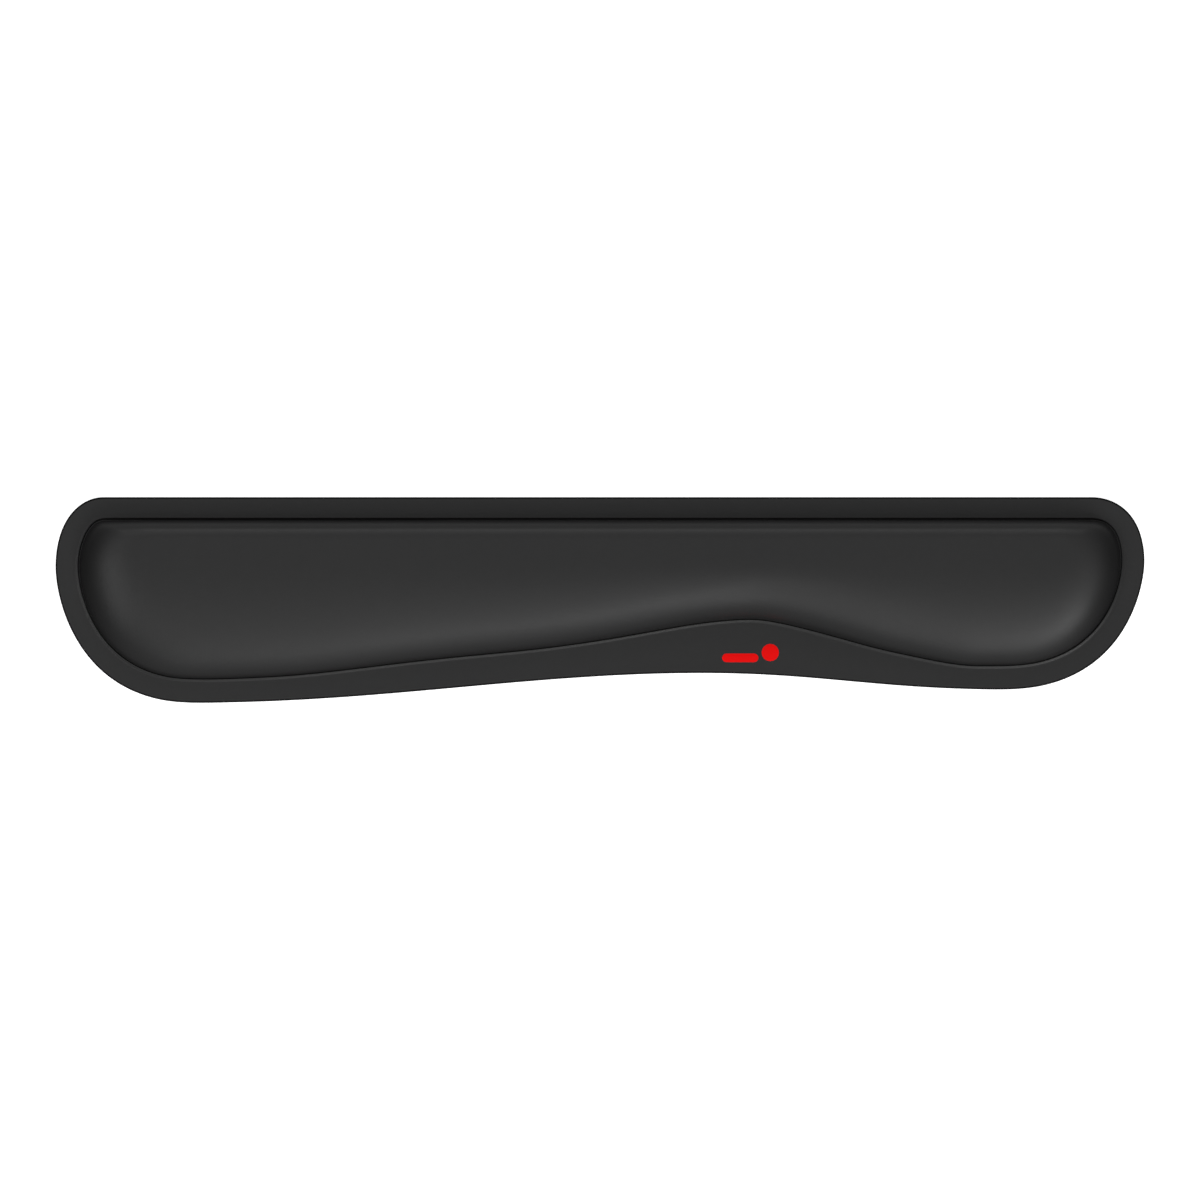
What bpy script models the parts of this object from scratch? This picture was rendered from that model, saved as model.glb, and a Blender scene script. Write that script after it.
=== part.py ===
"""Keyboard wrist rest: a soft pad inside a flat border, laminated on an anti-slip base.

Metres, +Z up. X runs along the length, +Y points to the keyboard and -Y to the user. The origin is
the middle of the base's underside. From the bottom up the pieces are the anti-slip base, the
adhesive sheet, the border ply round the pad and the foam core inside it, the bonding film over the
core, the face cover over everything, and the two printed marks on the border.
"""

import math

import bmesh
import bpy
from mathutils import Vector
from mathutils.geometry import interpolate_bezier

# Overall size
LENGTH = 0.450
WIDTH = 0.085
HEIGHT = 0.020

# Layers, and the gap left between two pieces that touch
BASE_THICKNESS = 0.0025
SHEET_THICKNESS = 0.0002
PLY_THICKNESS = 0.0014
COVER_THICKNESS = 0.0007
FILM_THICKNESS = 0.0002
PRINT_THICKNESS = 0.0002
FIT_GAP = 0.0003

# Outline of the base: two front lobes with a waist between them
EDGE_STEP = 0.0004
LEFT_LOBE_FROM_END = 0.057
RIGHT_LOBE_FROM_END = 0.058
RIGHT_LOBE_SETBACK = 0.0055
WAIST_RISE = 0.0123
LEFT_END_FROM_BACK = 0.029
RIGHT_END_FROM_BACK = 0.027
LEFT_CORNER_LENGTH = 0.0195
RIGHT_CORNER_LENGTH = 0.0215

# Crease between the border and the pad
CREASE_INSET = 0.0095
CREASE_LIP = 0.0011
CREASE_FLOOR = 0.0004
NOTCH_BORDER = 0.0218
LEFT_SLOPE_DROP = 0.0141
RIGHT_SLOPE_DROP = 0.0118

# Crest of the pad: a level strip along the back, from end to end
CREST_FROM_BACK_CREASE = 0.0115
CREST_HALF_WIDTH = 0.0045
LEFT_CREST_FROM_CREASE = 0.029
RIGHT_CREST_FROM_CREASE = 0.026

# Section of the pad: a superellipse from foot to crest. The foot's power is high, for a wall that
# stands up, where the run to the crest is short, and low where the run is long.
CREST_POWER = 2.2
WALL_POWER = 4.6
SLOPE_POWER = 2.0
WALL_RUN = 0.0066
SLOPE_RUN = 0.030

# Printed marks on the border in front of the notch
MARK_AHEAD_OF_NOTCH = 0.0155
MARK_LEFT_OF_NOTCH = 0.0013
BAR_LENGTH = 0.0150
BAR_HEIGHT = 0.0036
DOT_DIAMETER = 0.0072
MARK_SPACING = 0.0013
DOT_RISE = 0.0022

# Places along the front, as shares of the way from the left lobe to the right lobe
WAIST_AT = 0.627
NOTCH_AT = 0.691
LEFT_SLOPE_AT = 0.369
RIGHT_SLOPE_AT = 0.842
LEFT_SLOPE_ANGLE = math.radians(5.1)
RIGHT_SLOPE_ANGLE = math.radians(-12.8)

# Points per stretch: corner, end, lobe to waist, waist to lobe, end, corner, straight back.
# The crease has one more anchor in each of the two split stretches.
STRETCH_STEPS = (6, 11, 16, 12, 11, 6, 22)
SPLIT_STRETCHES = (2, 3)
PAD_RINGS = 7
ROUND_END_STEPS = 8
SHARP_ANGLE = math.radians(35)

# Levels
SHEET_BOTTOM = BASE_THICKNESS + FIT_GAP
SHEET_TOP = SHEET_BOTTOM + SHEET_THICKNESS
SEAT = SHEET_TOP + FIT_GAP
PLY_TOP = SEAT + PLY_THICKNESS
BORDER_TOP = PLY_TOP + FIT_GAP + COVER_THICKNESS
CREASE_LEVEL = SEAT + COVER_THICKNESS

# Places in plan
BACK = WIDTH / 2
FRONT = -WIDTH / 2
RIGHT_FRONT = FRONT + RIGHT_LOBE_SETBACK
WAIST_Y = FRONT + WAIST_RISE
NOTCH_Y = WAIST_Y + NOTCH_BORDER
LEFT_LOBE_X = -LENGTH / 2 + LEFT_LOBE_FROM_END
RIGHT_LOBE_X = LENGTH / 2 - RIGHT_LOBE_FROM_END
CREST_Y = BACK - CREASE_INSET - CREST_FROM_BACK_CREASE

LEFTWARD = math.pi
FORWARD = -math.pi / 2
RIGHTWARD = 0.0
BACKWARD = math.pi / 2


def along_front(share):
    """X at a share of the way from the left lobe to the right lobe."""
    return LEFT_LOBE_X + share * (RIGHT_LOBE_X - LEFT_LOBE_X)


def base_anchors():
    """Anticlockwise anchors of the base's edge: x, y, heading, handle shares before and after."""
    left, right = -LENGTH / 2, LENGTH / 2
    return [
        (left + LEFT_CORNER_LENGTH, BACK, LEFTWARD, 0.33, 0.42),
        (left, BACK - LEFT_END_FROM_BACK, FORWARD, 0.73, 0.23),
        (LEFT_LOBE_X, FRONT, RIGHTWARD, 0.84, 0.37),
        (along_front(WAIST_AT), WAIST_Y, RIGHTWARD, 0.34, 0.39),
        (RIGHT_LOBE_X, RIGHT_FRONT, RIGHTWARD, 0.41, 0.89),
        (right, BACK - RIGHT_END_FROM_BACK, BACKWARD, 0.15, 0.81),
        (right - RIGHT_CORNER_LENGTH, BACK, LEFTWARD, 0.37, 0.33),
    ]


def crease_anchors():
    """Anticlockwise anchors of the crease's centre line, which swings in at the notch."""
    left, right = -LENGTH / 2, LENGTH / 2
    back = BACK - CREASE_INSET
    left_slope = (along_front(LEFT_SLOPE_AT), NOTCH_Y - LEFT_SLOPE_DROP)
    right_slope = (along_front(RIGHT_SLOPE_AT), NOTCH_Y - RIGHT_SLOPE_DROP)
    return [
        (left + LEFT_CORNER_LENGTH, back, LEFTWARD, 0.33, 0.50),
        (left + CREASE_INSET, BACK - LEFT_END_FROM_BACK, FORWARD, 0.52, 0.27),
        (LEFT_LOBE_X, FRONT + CREASE_INSET, RIGHTWARD, 0.82, 0.41),
        (*left_slope, LEFT_SLOPE_ANGLE, 0.48, 0.55),
        (along_front(NOTCH_AT), NOTCH_Y, RIGHTWARD, 0.27, 0.22),
        (*right_slope, RIGHT_SLOPE_ANGLE, 0.15, 0.73),
        (RIGHT_LOBE_X, RIGHT_FRONT + CREASE_INSET, RIGHTWARD, 0.31, 0.86),
        (right - CREASE_INSET, BACK - RIGHT_END_FROM_BACK, BACKWARD, 0.22, 0.84),
        (right - RIGHT_CORNER_LENGTH, back, LEFTWARD, 0.42, 0.33),
    ]


def sample(anchors, steps):
    """Points round a closed curve. A handle is a share of the way that its heading has to go."""
    points = []
    for here, there, count in zip(anchors, anchors[1:] + anchors[:1], steps):
        start, end = Vector(here[:2]), Vector(there[:2])
        leave = Vector((math.cos(here[2]), math.sin(here[2])))
        arrive = Vector((math.cos(there[2]), math.sin(there[2])))
        first = start + leave * abs((end - start).dot(leave)) * here[4]
        last = end - arrive * abs((end - start).dot(arrive)) * there[3]
        flat = interpolate_bezier(start, first, last, end, count + 1)
        points += [Vector(point[:2]) for point in flat[:-1]]
    return points


def outward(points):
    """Plan normals of an anticlockwise ring, pointing away from it."""
    normals = []
    for index, _ in enumerate(points):
        along = points[(index + 1) % len(points)] - points[index - 1]
        normals.append(Vector((along.y, -along.x)).normalized())
    return normals


def offset(points, distance):
    """The ring moved out by a distance, or in by a negative one."""
    return [point + normal * distance for point, normal in zip(points, outward(points))]


def crease_steps():
    """The base's steps, halved where the crease has an anchor part way."""
    steps = []
    for index, count in enumerate(STRETCH_STEPS):
        if index in SPLIT_STRETCHES:
            steps += [(count + 1) // 2, count // 2]
        else:
            steps.append(count)
    return steps


EDGE = sample(base_anchors(), STRETCH_STEPS)
CREASE = sample(crease_anchors(), crease_steps())


def raised(points, level):
    return [Vector((point.x, point.y, level)) for point in points]


def crest_points():
    """For each point of the crease, the point of the crest's strip that it rises to."""
    left = -LENGTH / 2 + CREASE_INSET + LEFT_CREST_FROM_CREASE
    right = LENGTH / 2 - CREASE_INSET - RIGHT_CREST_FROM_CREASE
    points = []
    for foot in CREASE:
        centre = Vector((min(max(foot.x, left), right), CREST_Y))
        points.append(centre + (foot - centre).normalized() * CREST_HALF_WIDTH)
    return points


def foot_power(run):
    """How upright the foot stands, from the distance to the crest."""
    share = min(max((run - WALL_RUN) / (SLOPE_RUN - WALL_RUN), 0.0), 1.0)
    return WALL_POWER + (SLOPE_POWER - WALL_POWER) * math.sin(share * math.pi / 2)


def pad_rings(depth):
    """Rings of the pad from foot to crest, at a depth under its outer surface."""
    rise = HEIGHT - CREASE_LEVEL
    feet = offset(CREASE, -CREASE_FLOOR)
    normals = outward(feet)
    crest = crest_points()
    rings = []
    for step in range(PAD_RINGS + 1):
        turn = math.pi / 2 * step / PAD_RINGS
        away = max(math.cos(turn), 0.0) ** (2 / CREST_POWER)
        ring = []
        for foot, normal, top in zip(feet, normals, crest):
            run = (foot - top).length
            power = foot_power(run)
            up = math.sin(turn) ** (2 / power)
            slope = Vector(
                (CREST_POWER * away ** (CREST_POWER - 1) / run, power * up ** (power - 1) / rise)
            )
            slope.normalize()
            place = top + (foot - top) * away - normal * depth * slope.x
            level = CREASE_LEVEL + rise * up - depth * slope.y
            ring.append(Vector((place.x, place.y, level)))
        rings.append(ring)
    return rings


def add_ring(mesh, ring):
    return [mesh.verts.new(point) for point in ring]


def loft(mesh, rings):
    """Quads between rings that have a point for each point of the next. Returns the last ring."""
    lower = add_ring(mesh, rings[0])
    for ring in rings[1:]:
        upper = add_ring(mesh, ring)
        for index in range(len(ring)):
            mesh.faces.new((lower[index - 1], lower[index], upper[index], upper[index - 1]))
        lower = upper
    return lower


def material(name, colour, roughness, metallic=0.0):
    made = bpy.data.materials.new(name)
    made.use_nodes = True
    shader = made.node_tree.nodes["Principled BSDF"]
    shader.inputs["Base Color"].default_value = (*colour, 1.0)
    shader.inputs["Roughness"].default_value = roughness
    shader.inputs["Metallic"].default_value = metallic
    return made


def place(name, data, finish):
    piece = bpy.data.objects.new(name, data)
    piece.data.materials.append(finish)
    PARTS.objects.link(piece)
    return piece


def flat_piece(name, outlines, bottom, top, finish):
    """A flat sheet cut to an outline, with any further outline a hole in it."""
    curve = bpy.data.curves.new(name, "CURVE")
    curve.dimensions = "2D"
    curve.fill_mode = "BOTH"
    curve.extrude = (top - bottom) / 2
    for outline in outlines:
        spline = curve.splines.new("POLY")
        spline.points.add(len(outline) - 1)
        spline.use_cyclic_u = True
        for point, (x, y) in zip(spline.points, outline):
            point.co = (x, y, 0.0, 1.0)
    piece = place(name, curve, finish)
    piece.location.z = (bottom + top) / 2
    return piece


def shell_piece(name, rings, thickness, finish):
    """A sheet formed over rings and closed at the crest, thickened downwards."""
    mesh = bmesh.new()
    mesh.faces.new(loft(mesh, rings))
    data = bpy.data.meshes.new(name)
    mesh.to_mesh(data)
    mesh.free()
    data.shade_smooth()
    data.set_sharp_from_angle(angle=SHARP_ANGLE)
    piece = place(name, data, finish)
    solidify = piece.modifiers.new("sheet_thickness", "SOLIDIFY")
    solidify.thickness = thickness
    solidify.offset = -1.0
    solidify.use_even_offset = True
    return piece


def anti_slip_base():
    finish = material("black_rubber", (0.020, 0.020, 0.021), 0.85)
    return flat_piece("anti_slip_base", [EDGE], 0.0, BASE_THICKNESS, finish)


def adhesive_sheet():
    finish = material("clear_adhesive", (0.62, 0.58, 0.48), 0.35)
    outline = offset(EDGE, -EDGE_STEP)
    return flat_piece("adhesive_sheet", [outline], SHEET_BOTTOM, SHEET_TOP, finish)


def border_ply():
    finish = material("border_foam_board", (0.055, 0.055, 0.058), 0.80)
    outer = offset(EDGE, -EDGE_STEP)
    inner = offset(CREASE, CREASE_LIP + COVER_THICKNESS + FIT_GAP)
    return flat_piece("border_ply", [outer, inner], SEAT, PLY_TOP, finish)


def foam_core():
    """The pad's filling, with a flat underside on the seat."""
    finish = material("memory_foam", (0.30, 0.30, 0.32), 0.90)
    rings = pad_rings(COVER_THICKNESS + FIT_GAP + FILM_THICKNESS + FIT_GAP)
    foot = [Vector((point.x, point.y, SEAT)) for point in rings[0]]
    mesh = bmesh.new()
    mesh.faces.new(loft(mesh, [foot, *rings]))
    boundary = [edge for edge in mesh.edges if edge.is_boundary]
    bmesh.ops.contextual_create(mesh, geom=boundary)
    bmesh.ops.recalc_face_normals(mesh, faces=mesh.faces)
    data = bpy.data.meshes.new("foam_core")
    mesh.to_mesh(data)
    mesh.free()
    return place("foam_core", data, finish)


def bonding_film():
    finish = material("bonding_film", (0.70, 0.70, 0.68), 0.30)
    rings = pad_rings(COVER_THICKNESS + FIT_GAP)
    foot = [Vector((point.x, point.y, SEAT)) for point in rings[0]]
    return shell_piece("bonding_film", [foot, *rings], FILM_THICKNESS, finish)


def face_cover():
    """The face fabric: flat border, pressed crease and pad in one formed sheet."""
    finish = material("charcoal_knit", (0.032, 0.032, 0.034), 0.60)
    border = [
        raised(offset(EDGE, -EDGE_STEP), BORDER_TOP),
        raised(offset(CREASE, CREASE_LIP), BORDER_TOP),
        raised(offset(CREASE, CREASE_FLOOR), CREASE_LEVEL),
    ]
    return shell_piece("face_cover", [*border, *pad_rings(0.0)], COVER_THICKNESS, finish)


def round_ended(length, height, centre):
    """Outline of a bar with round ends. A bar as long as it is high is a disc."""
    radius = height / 2
    reach = length / 2 - radius
    steps = ROUND_END_STEPS + 1 if reach else ROUND_END_STEPS
    outline = []
    for side, start in ((reach, -math.pi / 2), (-reach, math.pi / 2)):
        for step in range(steps):
            turn = start + math.pi * step / ROUND_END_STEPS
            spot = Vector((side + radius * math.cos(turn), radius * math.sin(turn)))
            outline.append(centre + spot)
    return outline


def printed_marks():
    """A plain bar and a plain dot, side by side on the wide border in front of the notch."""
    finish = material("red_print", (0.60, 0.004, 0.004), 0.45)
    notch = Vector((along_front(NOTCH_AT), NOTCH_Y))
    middle = notch - Vector((MARK_LEFT_OF_NOTCH, MARK_AHEAD_OF_NOTCH))
    bar = middle - Vector(((DOT_DIAMETER + MARK_SPACING) / 2, 0.0))
    dot = middle + Vector(((BAR_LENGTH + MARK_SPACING) / 2, DOT_RISE))
    bottom = BORDER_TOP + FIT_GAP
    top = bottom + PRINT_THICKNESS
    flat_piece("printed_bar", [round_ended(BAR_LENGTH, BAR_HEIGHT, bar)], bottom, top, finish)
    flat_piece("printed_dot", [round_ended(DOT_DIAMETER, DOT_DIAMETER, dot)], bottom, top, finish)


for old in list(bpy.data.objects):
    bpy.data.objects.remove(old, do_unlink=True)

PARTS = bpy.data.collections.new("wrist_rest")
bpy.context.scene.collection.children.link(PARTS)

anti_slip_base()
adhesive_sheet()
border_ply()
foam_core()
bonding_film()
face_cover()
printed_marks()
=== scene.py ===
"""Looks of a padded keyboard wrist rest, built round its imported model.

Metres, +Z up, +X along the length, +Y to the keyboard. The face cover is one formed sheet, raised
ring by ring from its cut edge over the crease to the crown and then relaxed as cloth. The base
gets its moulded tread, and the prints are laid on the border.
"""

import math

import bmesh
import bpy
import numpy as np
from mathutils import Matrix, Vector


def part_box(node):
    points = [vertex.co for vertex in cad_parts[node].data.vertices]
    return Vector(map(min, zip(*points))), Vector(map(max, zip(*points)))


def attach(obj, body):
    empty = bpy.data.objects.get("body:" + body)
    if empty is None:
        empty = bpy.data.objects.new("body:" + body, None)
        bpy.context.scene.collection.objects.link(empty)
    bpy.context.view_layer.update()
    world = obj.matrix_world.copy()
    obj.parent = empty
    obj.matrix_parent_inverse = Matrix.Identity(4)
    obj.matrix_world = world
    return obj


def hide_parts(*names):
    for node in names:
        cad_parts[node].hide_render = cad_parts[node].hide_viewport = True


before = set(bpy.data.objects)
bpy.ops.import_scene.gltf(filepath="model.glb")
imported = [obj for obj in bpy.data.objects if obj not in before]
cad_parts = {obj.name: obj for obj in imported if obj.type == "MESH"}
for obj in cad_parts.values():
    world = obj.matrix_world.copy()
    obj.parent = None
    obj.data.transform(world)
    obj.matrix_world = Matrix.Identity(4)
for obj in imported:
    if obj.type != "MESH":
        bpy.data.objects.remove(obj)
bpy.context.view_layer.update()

MM = 0.001
MERGE = 1e-6
LEVEL_SLACK = 0.02 * MM
TINY = 1e-9

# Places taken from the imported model
BASE_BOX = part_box("anti_slip_base")
COVER_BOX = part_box("face_cover")
PLY_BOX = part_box("border_ply")

# Face cover: its sheet, its border and where its mesh runs
COVER_THICKNESS = 0.7 * MM
PLY_TO_COVER = 0.3 * MM
BORDER_TOP = PLY_BOX[1].z + PLY_TO_COVER + COVER_THICKNESS
CREST_TOP = COVER_BOX[1].z
COVER_INSET = BASE_BOX[1].y - COVER_BOX[1].y + 0.3 * MM
CUT_EDGE_BEVEL = 0.18 * MM
FINE_STEPS = 12
SPOKE_SPACING = 3.2 * MM
BORDER_SHARES = (0.0, 0.03, 0.35, 0.7, 0.95, 1.0)
CREST_SHARES = (0.75, 0.5, 0.25)
CREST_WELD = 0.25 * MM

# Crease: its centre line stands this far outside the foam core's foot. The rest are ways out from
# that line, and a depth and a bead's height, at the front and at the back.
CORE_TO_CREASE = 1.9 * MM
FRONT_LIP, BACK_LIP = -0.45 * MM, 0.6 * MM
FRONT_WALL, BACK_WALL = -0.5 * MM, 0.4 * MM
FRONT_TOE, BACK_TOE = -0.53 * MM, 0.1 * MM
FRONT_FOOT, BACK_FOOT = -0.55 * MM, -0.5 * MM
FRONT_DEPTH, BACK_DEPTH = 0.2 * MM, 0.9 * MM
FRONT_BEAD, BACK_BEAD = 0.42 * MM, 0.04 * MM
BEAD_RUN, BEAD_STEPS = 0.95 * MM, 4
LIP_RUN, LIP_FALL, LIP_STEPS = 0.35 * MM, 0.4 * MM, 3
WALL_HEIGHT = 0.2 * MM

# Pad's section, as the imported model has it: a squarer curve where the way up is short
CREST_POWER = 2.2
WALL_POWER, WALL_RUN = 3.8, 6.6 * MM
SLOPE_POWER, SLOPE_RUN = 2.0, 30.0 * MM
PAD_RINGS, RING_CROWDING = 14, 1.35

# Cloth: how long it swells, and the most that it keeps of that
SWELL_FRAMES = 20
SWELL_CAP = 0.2 * MM

# Knit fabric
KNIT_PITCH = 0.55 * MM
KNIT_RELIEF = 0.012 * MM
FABRIC_DARK = (0.0110, 0.0110, 0.0112)
FABRIC_LIGHT = (0.0130, 0.0130, 0.0132)
FABRIC_ROUGHNESS = 0.46
FABRIC_GLOSS = 0.35

# Base and its tread
BASE_ROUND, ROUND_STEPS = 0.2 * MM, 3
TREAD_DEPTH = 0.4 * MM
TREAD_RIM = 4.0 * MM
TREAD_REACH = 200 * MM
STUD_WIDTH = 2.8 * MM
STUD_DRAFT = 0.35 * MM
STUD_SUNK = 0.05 * MM

# Layers between base and cover
BOARD_INSET = COVER_INSET + 0.1 * MM
GLUE_INSET = COVER_INSET + 0.2 * MM
BOARD_TO_LIP = 1.1 * MM
BOARD_CELL = 0.25 * MM
FOAM_CELL = 0.8 * MM

# Prints
INK_HEIGHT = 0.09 * MM
INK_SUNK = 0.05 * MM
INK_ROUND = ((0.0, 0.5), (0.04 * MM, 0.85), (0.12 * MM, 1.0))

# Stage
FRAME_MARGIN = 1.1016
LENS, FILM_WIDTH = 600.0, 36.0
FLOOR_REACH = 12.0
FLOOR_GAP = 0.1 * MM
FLOOR_GLOW = 0.8
ROOM_LIGHT = 0.45
ROOM_ENDS = (0.5, 1.0)
SOFTBOX_DISTANCE = 2.2
SOFTBOXES = [
    # name, azimuth, elevation, width, height, radiance
    ("front_box", -68.0, 42.0, 1.4, 0.6, 6.0),
    ("front_top_box", -80.0, 64.0, 1.0, 0.8, 1.1),
    ("right_box", -46.0, 42.0, 0.6, 0.6, 5.8),
    ("left_box", 200.0, 52.0, 0.9, 0.7, 4.2),
    ("back_box", 90.0, 30.0, 1.2, 0.4, 4.4),
    ("back_top_box", 108.0, 56.0, 1.5, 0.6, 1.3),
]


# --- outlines -----------------------------------------------------------------------------------


def flat_outline(node, side):
    """Anticlockwise outline of a node's flat top (side 1) or underside (-1), from its back left."""
    mesh = bmesh.new()
    mesh.from_mesh(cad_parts[node].data)
    bmesh.ops.remove_doubles(mesh, verts=mesh.verts, dist=MERGE)
    level = side * max(side * vert.co.z for vert in mesh.verts)
    flat = {f for f in mesh.faces if all(abs(v.co.z - level) < LEVEL_SLACK for v in f.verts)}
    rim = {e for e in mesh.edges if len([f for f in e.link_faces if f in flat]) == 1}
    edge = rim.pop()
    walk = [edge.verts[0], edge.verts[1]]
    while True:
        onward = [e for e in walk[-1].link_edges if e in rim]
        if not onward:
            break
        rim.remove(onward[0])
        walk.append(onward[0].other_vert(walk[-1]))
    points = np.array([vert.co[:2] for vert in walk[:-1]])
    mesh.free()
    after = np.roll(points, -1, axis=0)
    if (points[:, 0] * after[:, 1] - points[:, 1] * after[:, 0]).sum() < 0:
        points = points[::-1]
    back = np.flatnonzero(points[:, 1] > points[:, 1].max() - 0.1 * MM)
    return np.roll(points, -back[points[back, 0].argmin()], axis=0)


def spline(points, first, last, counts):
    """Points along the smooth curve through points that leaves and arrives in given directions."""
    gaps = np.linalg.norm(np.diff(points, axis=0), axis=1)
    system = np.eye(len(points))
    target = np.zeros((len(points), 2))
    target[0], target[-1] = first, last
    for i in range(1, len(points) - 1):
        system[i, i - 1 : i + 2] = gaps[i], 2 * (gaps[i - 1] + gaps[i]), gaps[i - 1]
        before = (points[i] - points[i - 1]) / gaps[i - 1]
        after = (points[i + 1] - points[i]) / gaps[i]
        target[i] = 3 * (gaps[i] * before + gaps[i - 1] * after)
    slopes = np.linalg.solve(system, target)
    curve = []
    for i, count in enumerate(counts):
        for t in np.arange(count) / count:
            start = points[i] * (1 + 2 * t) * (1 - t) ** 2 + slopes[i] * gaps[i] * t * (1 - t) ** 2
            end = points[i + 1] * (3 - 2 * t) * t**2 - slopes[i + 1] * gaps[i] * t**2 * (1 - t)
            curve.append(start + end)
    return curve


def smooth_outline(points):
    """A faceted outline refined: its straight back stays straight and the rest becomes a curve."""
    corner = int(np.flatnonzero(points[:, 1] > points[:, 1].max() - 0.1 * MM)[1])
    leftward = np.array([-1.0, 0.0])
    counts = [FINE_STEPS] * corner
    return np.array(spline(points[: corner + 1], leftward, leftward, counts) + [points[corner]])


def landmarks(outline):
    """Where an outline passes its left end, left lobe, waist, right lobe and right end."""
    x, y = outline.T
    lobes = [int(np.where(side * x > 0, y, 1).argmin()) for side in (-1, 1)]
    waist = lobes[0] + int(y[lobes[0] : lobes[1]].argmax())
    return [0, int(x.argmin()), lobes[0], waist, lobes[1], int(x.argmax()), len(outline) - 1]


def stepped(outline, counts):
    """An outline resampled between its landmarks, with a number of steps for each stretch."""
    marks = landmarks(outline)
    closed = np.vstack([outline, outline[:1]])
    ring = []
    for first, last, count in zip(marks, marks[1:] + [len(outline)], counts):
        stretch = closed[first : last + 1]
        sides = np.linalg.norm(np.diff(stretch, axis=0), axis=1)
        gone = np.concatenate([[0.0], sides.cumsum()])
        steps = gone[-1] * np.arange(count) / count
        ring.append(np.column_stack([np.interp(steps, gone, stretch[:, i]) for i in (0, 1)]))
    return np.concatenate(ring)


def step_counts(outline, spacing):
    """How many steps of about a spacing each stretch between landmarks takes."""
    marks = landmarks(outline)
    closed = np.vstack([outline, outline[:1]])
    sides = np.linalg.norm(np.diff(closed, axis=0), axis=1)
    spans = zip(marks, marks[1:] + [len(outline)])
    return [max(2, round(float(sides[first:last].sum()) / spacing)) for first, last in spans]


def plan_normals(points):
    along = np.roll(points, -1, axis=0) - np.roll(points, 1, axis=0)
    normals = np.stack([along[:, 1], -along[:, 0]], axis=1)
    return normals / np.linalg.norm(normals, axis=1)[:, None]


def moved_out(points, distance):
    return points + plan_normals(points) * distance


def at_level(points, level):
    return np.column_stack([points, np.broadcast_to(level, len(points))])


CORE_FOOT = smooth_outline(flat_outline("foam_core", -1))
EDGE_CURVE = smooth_outline(flat_outline("anti_slip_base", -1))
STEPS = step_counts(EDGE_CURVE, SPOKE_SPACING)
EDGE = stepped(EDGE_CURVE, STEPS)
FINE_EDGE = stepped(EDGE_CURVE, [3 * count for count in STEPS])
CREASE = moved_out(stepped(CORE_FOOT, STEPS), CORE_TO_CREASE)
CREST = flat_outline("face_cover", 1)


# --- meshes -------------------------------------------------------------------------------------


def first_ring(mesh, points):
    verts = [mesh.verts.new(point) for point in points]
    for here, there in zip(verts, verts[1:] + verts[:1]):
        mesh.edges.new((here, there))
    return verts


def ring_edges(mesh, ring):
    return [mesh.edges.get(pair) for pair in zip(ring, ring[1:] + ring[:1])]


def next_ring(mesh, verts, points):
    """Extrudes a ring's edges and puts the new ring's corners on points."""
    made = bmesh.ops.extrude_edge_only(mesh, edges=ring_edges(mesh, verts))["geom"]
    fresh = {part for part in made if isinstance(part, bmesh.types.BMVert)}
    ring = []
    for vert, point in zip(verts, points):
        partner = next(e.other_vert(vert) for e in vert.link_edges if e.other_vert(vert) in fresh)
        partner.co = point
        ring.append(partner)
    return ring


def cap(mesh, ring):
    """Fills a level ring."""
    edges = ring_edges(mesh, ring)
    bmesh.ops.triangle_fill(mesh, use_beauty=True, use_dissolve=False, edges=edges)


def loft(rings):
    """A closed body raised ring by ring and filled flat at both ends."""
    mesh = bmesh.new()
    ring = first_ring(mesh, rings[0])
    cap(mesh, ring)
    for points in rings[1:]:
        ring = next_ring(mesh, ring, points)
    cap(mesh, ring)
    bmesh.ops.recalc_face_normals(mesh, faces=mesh.faces)
    return mesh


def linked(name, mesh, material):
    data = bpy.data.meshes.new(name)
    mesh.to_mesh(data)
    mesh.free()
    data.materials.append(material)
    piece = bpy.data.objects.new(name, data)
    bpy.context.scene.collection.objects.link(piece)
    return piece


def finished(name, mesh, material, sharp=None):
    """A piece on the part's one body, smooth except across edges above an angle in degrees."""
    piece = linked(name, mesh, material)
    piece.data.shade_smooth()
    if sharp:
        piece.data.set_sharp_from_angle(angle=math.radians(sharp))
    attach(piece, "root")
    return piece


# --- shader graphs ------------------------------------------------------------------------------


class Value:
    """A node's output that adds Math nodes when it is used in an expression."""

    def __init__(self, graph, socket):
        self.graph, self.socket = graph, socket

    def math(self, operation, *others):
        return self.graph.node("Math", {"operation": operation}, self, *others)

    def __add__(self, other):
        return self.math("ADD", other)

    def __sub__(self, other):
        return self.math("SUBTRACT", other)

    def __mul__(self, other):
        return self.math("MULTIPLY", other)

    def __truediv__(self, other):
        return self.math("DIVIDE", other)

    def __rsub__(self, other):
        return self.graph.node("Math", {"operation": "SUBTRACT"}, other, self)

    __radd__ = __add__
    __rmul__ = __mul__


def socket_of(sockets, key):
    """A socket by its number, or by its name or identifier with _ for a space."""
    if isinstance(key, int):
        return sockets[key]
    return next(s for s in sockets if key in (s.name.replace(" ", "_"), s.identifier))


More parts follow.
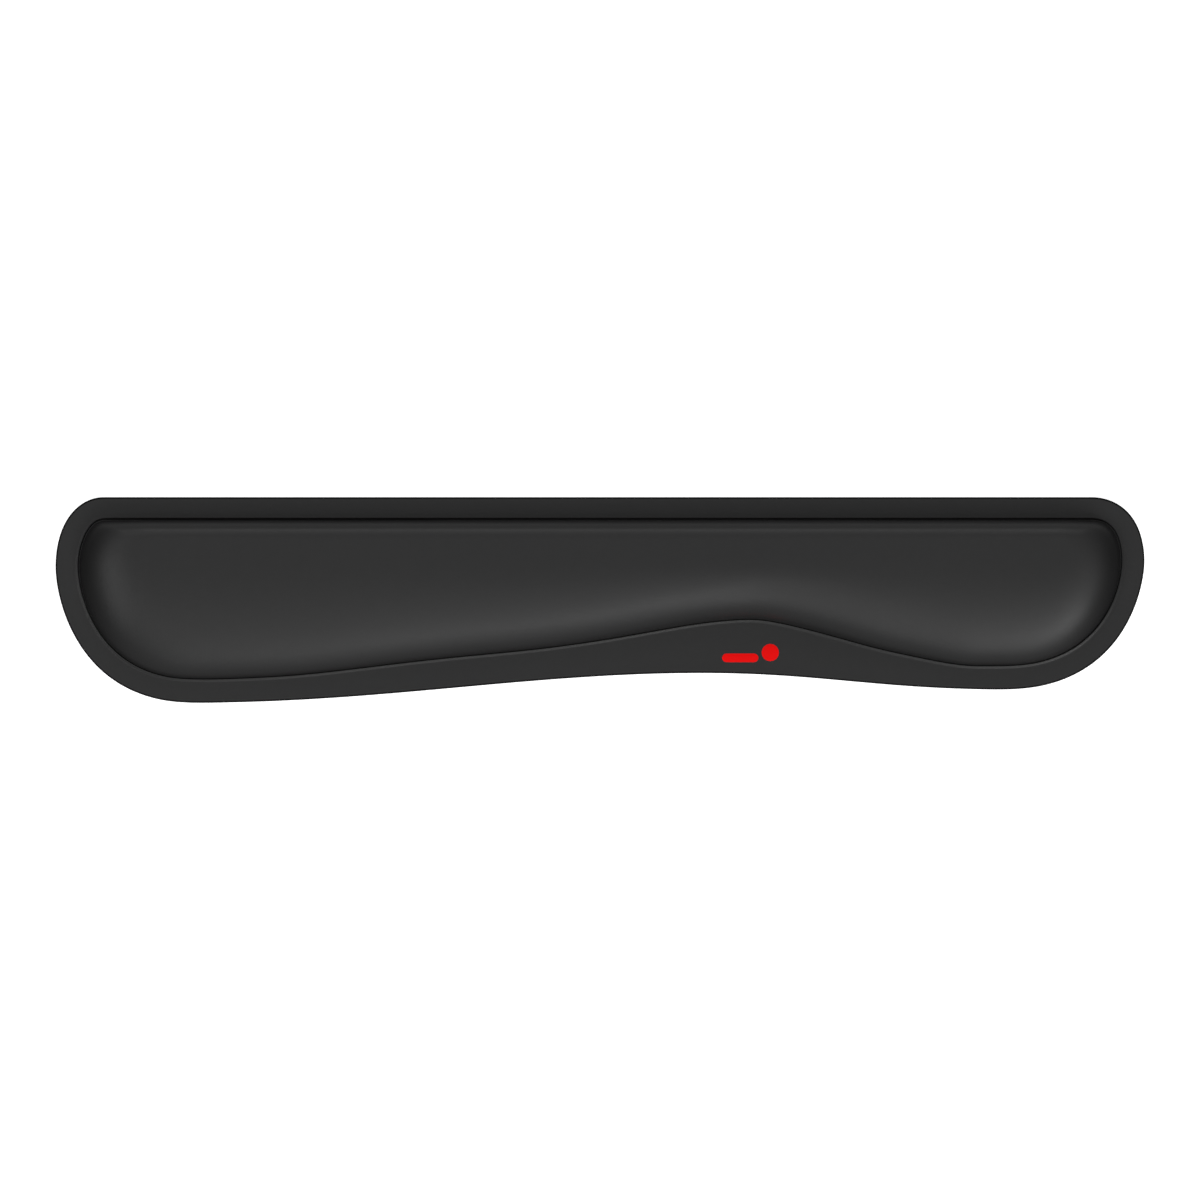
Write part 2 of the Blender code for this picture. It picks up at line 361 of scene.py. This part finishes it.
class Graph:
    """A material or world under construction. node() adds any node, with its settings set first."""

    def __init__(self, owner, shader="Principled BSDF"):
        owner.use_nodes = True
        self.owner = owner
        self.nodes = owner.node_tree.nodes
        self.links = owner.node_tree.links
        self.shader = self.nodes[shader]

    def feed(self, socket, value):
        if isinstance(value, Value):
            self.links.new(value.socket, socket)
        else:
            socket.default_value = value

    def node(self, kind, settings=None, *inputs, output=0, **named):
        made = self.nodes.new("ShaderNode" + kind)
        for setting, value in (settings or {}).items():
            setattr(made, setting, value)
        for key, value in [*enumerate(inputs), *named.items()]:
            self.feed(socket_of(made.inputs, key), value)
        return Value(self, socket_of(made.outputs, output))

    def finish(self, **sockets):
        """Feeds the shader's own sockets and returns the material or world."""
        for key, value in sockets.items():
            self.feed(socket_of(self.shader.inputs, key), value)
        return self.owner

    def mixed(self, share, dark, light):
        """Between two colours, by a share that varies."""
        colours = {"A_Color": (*dark, 1.0), "B_Color": (*light, 1.0)}
        return self.node(
            "Mix", {"data_type": "RGBA"}, output="Result_Color", Factor_Float=share, **colours
        )

    def noise(self, place, size, detail=2.0, rough=0.5):
        """Noise with features of about a size in metres."""
        return self.node(
            "TexNoise", {}, Vector=place, Scale=1.0 / size, Detail=detail, Roughness=rough
        )

    def bump(self, height, depth):
        """A normal from heights of 0 to 1 that stand for a depth in metres."""
        return self.node("Bump", {}, Height=height, Strength=1.0, Distance=depth)


def material_graph(name):
    """A new material's graph, and its Object coordinates."""
    graph = Graph(bpy.data.materials.new(name))
    return graph, graph.node("TexCoord", output="Object")


def knit_fabric():
    """Charcoal smooth-faced knit: fine stitch columns, a soft satin gloss and faint unevenness."""
    graph, place = material_graph("charcoal_knit")
    cloth = graph.node("UVMap", {"uv_map": "cloth"})
    across = graph.node("SeparateXYZ", {}, cloth, output="X") / KNIT_PITCH
    along = graph.node("SeparateXYZ", {}, cloth, output="Y") / KNIT_PITCH
    column = (across * math.pi).math("SINE").math("ABSOLUTE")
    lean = (across - across.math("FLOOR") - 0.5).math("ABSOLUTE")
    stitch = ((along + lean) * math.tau).math("SINE") * 0.5 + 0.5
    fuzz = graph.noise(place, 0.9 * MM, 3.0, 0.6)
    weave = column * (stitch * 0.5 + 0.5) * 0.6 + fuzz * 0.4
    broad = graph.noise(place, 45 * MM)
    blotch = graph.noise(place, 7 * MM, 3.0)
    colour = graph.mixed(blotch * 0.6 + fuzz * 0.4, FABRIC_DARK, FABRIC_LIGHT)
    roughness = broad * 0.05 + fuzz * 0.08 + (FABRIC_ROUGHNESS - 0.065)
    return graph.finish(
        Base_Color=colour,
        Roughness=roughness,
        Specular_IOR_Level=FABRIC_GLOSS,
        Normal=graph.bump(weave, KNIT_RELIEF),
    )


def rubber():
    """Black base rubber with a fine moulded grain."""
    graph, place = material_graph("base_rubber")
    grain = graph.noise(place, 0.6 * MM, 3.0, 0.6)
    dust = graph.noise(place, 12 * MM, 4.0, 0.6)
    return graph.finish(
        Base_Color=graph.mixed(dust, (0.004, 0.004, 0.0042), (0.008, 0.008, 0.0084)),
        Roughness=dust * 0.12 + 0.68,
        Specular_IOR_Level=0.2,
        Normal=graph.bump(grain, 0.05 * MM),
    )


def foam(name, dark, light, cell):
    """Foam or foam board: matt, with cells of about a size."""
    graph, place = material_graph(name)
    cells = graph.node("TexVoronoi", {}, Vector=place, Scale=1.0 / cell)
    return graph.finish(
        Base_Color=graph.mixed(cells, dark, light),
        Roughness=0.9,
        Normal=graph.bump(cells, 0.3 * cell),
    )


def clear_sheet(name, dark, light, roughness):
    """A dull film or glue sheet with a faint cloudiness."""
    graph, place = material_graph(name)
    cloud = graph.noise(place, 8 * MM, 3.0)
    return graph.finish(
        Base_Color=graph.mixed(cloud, dark, light), Roughness=cloud * 0.1 + roughness
    )


def red_ink():
    """Flat red print, a little uneven where the knit shows through it."""
    graph, place = material_graph("red_print")
    weave = graph.noise(place, 0.5 * MM, 2.0)
    return graph.finish(
        Base_Color=graph.mixed(weave, (0.72, 0.0, 0.0), (0.80, 0.001, 0.001)),
        Roughness=weave * 0.15 + 0.55,
        Specular_IOR_Level=0.1,
        Normal=graph.bump(weave, 0.02 * MM),
    )


# --- the face cover -----------------------------------------------------------------------------


def crest_line(feet):
    """For each foot of the pad, the point of the level crest that it rises to, and the way there."""
    low, high = CREST.min(axis=0), CREST.max(axis=0)
    half_width = (high[1] - low[1]) / 2
    ends = low[0] + half_width, high[0] - half_width
    centres = np.stack([feet[:, 0].clip(*ends), np.full(len(feet), low[1] + half_width)], axis=1)
    ways = feet - centres
    ways /= np.linalg.norm(ways, axis=1)[:, None]
    return centres + ways * half_width, ways


def crease_share(front, back):
    """A distance along the crease that goes from its value at the front to that at the back."""
    return front + (back - front) * (plan_normals(CREASE)[:, 1] + 1) / 2


def beside_crease(front, back):
    """The crease's line moved out by one distance along the front and by another along the back."""
    return moved_out(CREASE, crease_share(front, back)[:, None])


def pad_rings():
    """Rings of the pad from its foot to its crest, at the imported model's section."""
    feet = beside_crease(FRONT_FOOT, BACK_FOOT)
    crest, ways = crest_line(feet)
    half_width = np.ptp(CREST[:, 1]) / 2
    runs = np.linalg.norm(feet - crest, axis=1)
    share = ((runs - WALL_RUN) / (SLOPE_RUN - WALL_RUN)).clip(0, 1)
    power = WALL_POWER + (SLOPE_POWER - WALL_POWER) * np.sin(share * math.pi / 2)
    low = BORDER_TOP - crease_share(FRONT_DEPTH, BACK_DEPTH)
    rings = []
    for step in range(PAD_RINGS + 1):
        turn = math.pi / 2 * (step / PAD_RINGS) ** RING_CROWDING
        away = max(math.cos(turn), 0.0) ** (2 / CREST_POWER)
        up = math.sin(turn) ** (2 / power)
        rings.append(at_level(crest + (feet - crest) * away, low + (CREST_TOP - low) * up))
    centres = crest - ways * half_width
    for share in CREST_SHARES:
        rings.append(at_level(centres + (crest - centres) * share, CREST_TOP))
    return rings


def border_rings():
    """Rings from the cut edge over the border, round the lip and down into the crease."""
    edge = moved_out(EDGE, -COVER_INSET)
    bead = crease_share(FRONT_BEAD, BACK_BEAD)
    low = BORDER_TOP - crease_share(FRONT_DEPTH, BACK_DEPTH)

    def beside_lip(out):
        return beside_crease(FRONT_LIP + out, BACK_LIP + out)

    flat = beside_lip(BEAD_RUN + LIP_RUN)
    rings = [at_level(edge + (flat - edge) * share, BORDER_TOP) for share in BORDER_SHARES]
    for step in range(1, BEAD_STEPS + 1):
        share = step / BEAD_STEPS
        rise = bead * (1 - math.cos(math.pi * share)) / 2
        rings.append(at_level(beside_lip(LIP_RUN + BEAD_RUN * (1 - share)), BORDER_TOP + rise))
    for step in range(1, LIP_STEPS + 1):
        turn = math.pi / 2 * step / LIP_STEPS
        out, fall = LIP_RUN * (1 - math.sin(turn)), LIP_FALL * (1 - math.cos(turn))
        rings.append(at_level(beside_lip(out), BORDER_TOP + bead - fall))
    rings.append(at_level(beside_crease(FRONT_WALL, BACK_WALL), low + WALL_HEIGHT))
    rings.append(at_level(beside_crease(FRONT_TOE, BACK_TOE), low))
    return rings


def cloth_places(rings):
    """Where each ring's points lie on the flat fabric: the way from the crest, laid out flat."""
    _, ways = crest_line(beside_crease(FRONT_FOOT, BACK_FOOT))
    lengths = np.zeros(len(ways))
    places = [rings[-1][:, :2]]
    for outer, inner in zip(rings[-2::-1], rings[:0:-1]):
        lengths = lengths + np.linalg.norm(outer - inner, axis=1)
        places.append(rings[-1][:, :2] + ways * lengths[:, None])
    return places[::-1]


def cover_mesh():
    mesh = bmesh.new()
    places = mesh.verts.layers.float_vector.new("flat_place")
    border = border_rings()
    rings = border + pad_rings()
    ring = None
    for flat, points in zip(cloth_places(rings), rings):
        ring = next_ring(mesh, ring, points) if ring else first_ring(mesh, points)
        for vert, (x, y) in zip(ring, flat):
            vert[places] = (x, y, 0.0)
    cap(mesh, ring)
    bmesh.ops.remove_doubles(mesh, verts=ring, dist=CREST_WELD)
    bmesh.ops.recalc_face_normals(mesh, faces=mesh.faces)
    if sum(face.normal.z for face in mesh.faces) < 0:
        bmesh.ops.reverse_faces(mesh, faces=mesh.faces)
    cloth = mesh.loops.layers.uv.new("cloth")
    for face in mesh.faces:
        for corner in face.loops:
            corner[cloth].uv = corner.vert[places][:2]
    return mesh, len(border) * len(EDGE)


def places_of(mesh, attribute="co"):
    """The places, or the normals, of a mesh's corners."""
    values = np.empty(len(mesh.vertices) * 3, np.float32)
    mesh.vertices.foreach_get(attribute, values)
    return values.reshape(-1, 3)


def swollen(piece, pinned):
    """Where the pad's cloth has swelled to after some frames of light pressure from below."""
    group = piece.vertex_groups.new(name="held")
    group.add(list(range(pinned)), 1.0, "REPLACE")
    cloth = piece.modifiers.new("stretch", "CLOTH")
    settings = cloth.settings
    settings.quality = 6
    settings.mass = 0.12
    settings.tension_stiffness = 25.0
    settings.compression_stiffness = 25.0
    settings.shear_stiffness = 10.0
    settings.bending_stiffness = 2.0
    settings.vertex_group_mass = "held"
    settings.use_pressure = True
    settings.uniform_pressure_force = 4.0
    settings.effector_weights.gravity = 0.0
    scene = bpy.context.scene
    scene.frame_start, scene.frame_end = 1, SWELL_FRAMES
    for number in range(1, SWELL_FRAMES + 1):
        scene.frame_set(number)
    evaluated = piece.evaluated_get(bpy.context.evaluated_depsgraph_get())
    places = places_of(evaluated.to_mesh())
    piece.modifiers.remove(cloth)
    piece.vertex_groups.remove(group)
    scene.frame_set(1)
    return places


def relaxed(piece, pinned):
    """Lets the pad's cloth swell and keeps a capped share of its outward way."""
    rest = places_of(piece.data)
    way = swollen(piece, pinned) - rest
    normals = places_of(piece.data, "normal")
    sunk = np.minimum((way * normals).sum(axis=1), 0.0)[:, None]
    way -= normals * sunk
    far = np.linalg.norm(way, axis=1)[:, None]
    settled = rest + way * SWELL_CAP * np.tanh(far / SWELL_CAP) / np.maximum(far, TINY)
    settled[:, 2] = np.minimum(settled[:, 2], CREST_TOP)
    piece.data.vertices.foreach_set("co", settled.astype(np.float32).ravel())
    piece.data.update()


def face_cover():
    mesh, pinned = cover_mesh()
    piece = finished("formed_cover", mesh, knit_fabric())
    relaxed(piece, pinned)
    finer = piece.modifiers.new("finer", "SUBSURF")
    finer.levels = finer.render_levels = 1
    sheet = piece.modifiers.new("sheet", "SOLIDIFY")
    sheet.thickness = COVER_THICKNESS
    sheet.offset = -1.0
    cut = piece.modifiers.new("cut_edge", "BEVEL")
    cut.width = CUT_EDGE_BEVEL
    cut.segments = 2
    cut.harden_normals = True
    cut.limit_method = "ANGLE"
    cut.angle_limit = math.radians(60)
    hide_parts("face_cover")


# --- base, layers and prints --------------------------------------------------------------------


def inside_outline(point, outline):
    """Whether a plan point lies inside an outline."""
    x, y = point
    after = np.roll(outline, -1, axis=0)
    spans = (outline[:, 1] > y) != (after[:, 1] > y)
    rise = np.where(spans, after[:, 1] - outline[:, 1], 1.0)
    cross = outline[:, 0] + (y - outline[:, 1]) / rise * (after[:, 0] - outline[:, 0])
    return bool((spans & (x < cross)).sum() % 2)


def add_tread(mesh):
    """Low studs in the recess: every other cell of a slanting grid, drawn down to a smaller foot."""
    field = moved_out(FINE_EDGE, -TREAD_RIM - STUD_WIDTH)
    before = set(mesh.faces)
    place = Matrix.Translation((0, 0, BASE_BOX[0].z + TREAD_DEPTH + STUD_SUNK))
    count = 2 * round(TREAD_REACH / STUD_WIDTH)
    bmesh.ops.create_grid(
        mesh,
        x_segments=count,
        y_segments=count,
        size=count * STUD_WIDTH / 2,
        matrix=place @ Matrix.Rotation(math.radians(45), 4, "Z"),
    )
    studs, spare = [], []
    for face in [face for face in mesh.faces if face not in before]:
        x, y, _ = face.calc_center_median()
        row = math.floor((x + y) / math.sqrt(2) / STUD_WIDTH)
        column = math.floor((y - x) / math.sqrt(2) / STUD_WIDTH)
        kept = (row + column) % 2 == 0 and inside_outline((x, y), field)
        (studs if kept else spare).append(face)
    bmesh.ops.delete(mesh, geom=spare, context="FACES")
    bmesh.ops.reverse_faces(mesh, faces=studs)
    bmesh.ops.inset_individual(
        mesh,
        faces=studs,
        thickness=STUD_DRAFT,
        depth=TREAD_DEPTH + STUD_SUNK,
        use_even_offset=True,
    )


def rubber_base():
    """The base with rounded edges and a recessed underside full of low square studs."""
    top, bottom = BASE_BOX[1].z, BASE_BOX[0].z
    rings = [
        at_level(moved_out(FINE_EDGE, -TREAD_RIM - TREAD_DEPTH), bottom + TREAD_DEPTH),
        at_level(moved_out(FINE_EDGE, -TREAD_RIM), bottom),
    ]
    bends = [math.pi / 2 * step / ROUND_STEPS for step in range(ROUND_STEPS + 1)]
    for turn in bends:
        outline = moved_out(FINE_EDGE, -BASE_ROUND * (1 - math.sin(turn)))
        rings.append(at_level(outline, bottom + BASE_ROUND * (1 - math.cos(turn))))
    for turn in bends:
        outline = moved_out(FINE_EDGE, -BASE_ROUND * (1 - math.cos(turn)))
        rings.append(at_level(outline, top - BASE_ROUND * (1 - math.sin(turn))))
    mesh = loft(rings)
    add_tread(mesh)
    piece = finished("rubber_base", mesh, rubber(), sharp=40)
    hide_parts("anti_slip_base")


def glue_line():
    """The adhesive sheet, drawn solid between base and board."""
    outline = moved_out(FINE_EDGE, -GLUE_INSET)
    rings = [at_level(outline, BASE_BOX[1].z), at_level(outline, PLY_BOX[0].z)]
    material = clear_sheet("adhesive", (0.05, 0.048, 0.042), (0.07, 0.066, 0.058), 0.35)
    piece = finished("glue_line", loft(rings), material, sharp=40)
    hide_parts("adhesive_sheet")


def border_board():
    """The foam board ring, filling the border from the glue to the cover."""
    outer = moved_out(EDGE, -BOARD_INSET)
    inner = beside_crease(FRONT_LIP + BOARD_TO_LIP, BACK_LIP + BOARD_TO_LIP)
    low, high = PLY_BOX[0].z, BORDER_TOP - COVER_THICKNESS
    mesh = bmesh.new()
    ring = start = first_ring(mesh, at_level(outer, low))
    for points in (at_level(outer, high), at_level(inner, high), at_level(inner, low)):
        ring = next_ring(mesh, ring, points)
    bmesh.ops.bridge_loops(mesh, edges=ring_edges(mesh, ring) + ring_edges(mesh, start))
    bmesh.ops.recalc_face_normals(mesh, faces=mesh.faces)
    material = foam("border_foam_board", (0.012, 0.012, 0.013), (0.03, 0.03, 0.031), BOARD_CELL)
    piece = finished("border_board", mesh, material, sharp=40)
    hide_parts("border_ply")


def print_on_border(node, ink):
    """A printed mark as a thin layer of ink with a soft edge, on the border under its CAD plate."""
    outline = flat_outline(node, 1)
    rings = [at_level(outline, BORDER_TOP - INK_SUNK)]
    for inset, share in INK_ROUND:
        rings.append(at_level(moved_out(outline, -inset), BORDER_TOP + INK_HEIGHT * share))
    name = "red_" + node.split("_")[1]
    piece = finished(name, loft(rings), ink, sharp=50)
    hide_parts(node)


def inner_finishes():
    core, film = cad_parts["foam_core"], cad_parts["bonding_film"]
    cells = foam("memory_foam", (0.20, 0.20, 0.215), (0.36, 0.36, 0.38), FOAM_CELL)
    haze = clear_sheet("bonding_film", (0.62, 0.62, 0.60), (0.72, 0.72, 0.70), 0.25)
    for node, material in ((core, cells), (film, haze)):
        node.data.materials.clear()
        node.data.materials.append(material)


# --- stage --------------------------------------------------------------------------------------


def floor():
    """A glowing white table that lights nothing but the camera's view of it."""
    mesh = bmesh.new()
    bmesh.ops.create_grid(mesh, x_segments=1, y_segments=1, size=FLOOR_REACH)
    bmesh.ops.translate(mesh, vec=(0, 0, BASE_BOX[0].z - FLOOR_GAP), verts=mesh.verts)
    graph = Graph(bpy.data.materials.new("light_table"))
    paper = {"Base_Color": (0.9, 0.9, 0.9, 1.0), "Roughness": 0.9}
    glow = {"Emission_Color": (1.0, 1.0, 1.0, 1.0), "Emission_Strength": FLOOR_GLOW}
    piece = linked("floor", mesh, graph.finish(**paper, **glow))
    piece.visible_diffuse = piece.visible_glossy = False


def softbox(name, azimuth, elevation, width, height, radiance):
    """A soft light aimed at the object. Azimuth runs from +X to +Y, in degrees."""
    light = bpy.data.lights.new(name, "AREA")
    light.shape = "RECTANGLE"
    light.size, light.size_y = width, height
    light.energy = radiance * width * height * math.pi
    lamp = bpy.data.objects.new(name, light)
    turn, lift = math.radians(azimuth), math.radians(elevation)
    level = math.cos(lift)
    way = Vector((math.cos(turn) * level, math.sin(turn) * level, math.sin(lift)))
    lamp.location = way * SOFTBOX_DISTANCE
    lamp.rotation_euler = way.to_track_quat("Z", "Y").to_euler()
    lamp.visible_camera = False
    bpy.context.scene.collection.objects.link(lamp)


def studio():
    """A white backdrop for the camera, a dim room that is dark at both ends, and softboxes."""
    room = Graph(bpy.data.worlds.new("studio"), "Background")
    way = room.node("TexCoord", output="Generated")
    sideways = room.node("SeparateXYZ", {}, way, output="X").math("ABSOLUTE")
    dome = room.node("MapRange", {}, sideways, *ROOM_ENDS, ROOM_LIGHT, 0.0)
    seen = room.node("LightPath", output="Is_Camera_Ray")
    strength = room.node("MapRange", {}, seen, 0.0, 1.0, dome, 1.0)
    bpy.context.scene.world = room.finish(Color=(1.0, 1.0, 1.0, 1.0), Strength=strength)
    for placing in SOFTBOXES:
        softbox(*placing)


def camera():
    """Straight down on the object through a long lens, with the keyboard side at the top."""
    lens = bpy.data.cameras.new("camera")
    lens.lens, lens.sensor_width = LENS, FILM_WIDTH
    eye = bpy.data.objects.new("camera", lens)
    span = (BASE_BOX[1].x - BASE_BOX[0].x) * FRAME_MARGIN
    eye.location = (0.0, 0.0, span * LENS / FILM_WIDTH + BORDER_TOP)
    bpy.context.scene.collection.objects.link(eye)
    bpy.context.scene.camera = eye


camera()
studio()
floor()
face_cover()
rubber_base()
glue_line()
border_board()
red = red_ink()
for node in ("printed_bar", "printed_dot"):
    print_on_border(node, red)
inner_finishes()
bpy.context.scene.view_settings.view_transform = "Standard"
